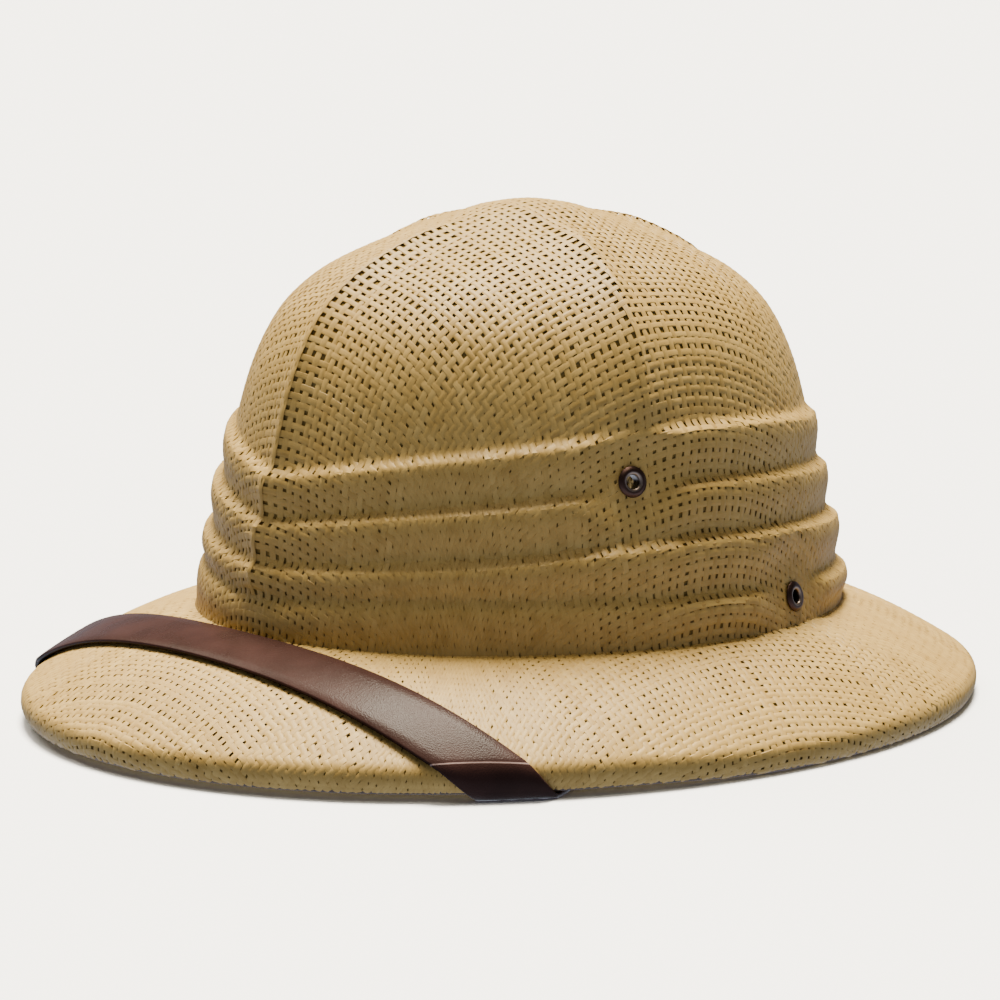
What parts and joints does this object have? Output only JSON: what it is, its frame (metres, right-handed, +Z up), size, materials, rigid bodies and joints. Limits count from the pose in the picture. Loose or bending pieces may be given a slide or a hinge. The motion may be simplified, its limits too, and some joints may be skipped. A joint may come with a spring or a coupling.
{
  "type": "straw pith helmet",
  "caption": "Straw pith helmet: a ridged, vented dome with wound folds, a sloping oval brim with a rounded, bound lip and a leatherette chin strap laid over the front.",
  "frame": {"origin": "centre of the bounding box's bottom face, on the surface that the hat rests on", "axes": "+Z up, the front of the hat towards -Y, the wearer's left towards +X"},
  "size_m": [0.2944, 0.345, 0.1711],
  "materials": {
    "woven_straw": "matt woven paper straw",
    "leatherette": "satin dark brown",
    "antique_metal": "darkened, satin"
  },
  "bodies": {
    "root": {"straw_shell": "woven_straw", "brim_binding": "leatherette", "chin_strap": "leatherette", "eyelet_upper_left": "antique_metal", "eyelet_upper_right": "antique_metal", "eyelet_lower_left": "antique_metal", "eyelet_lower_right": "antique_metal"}
  },
  "joints": []
}
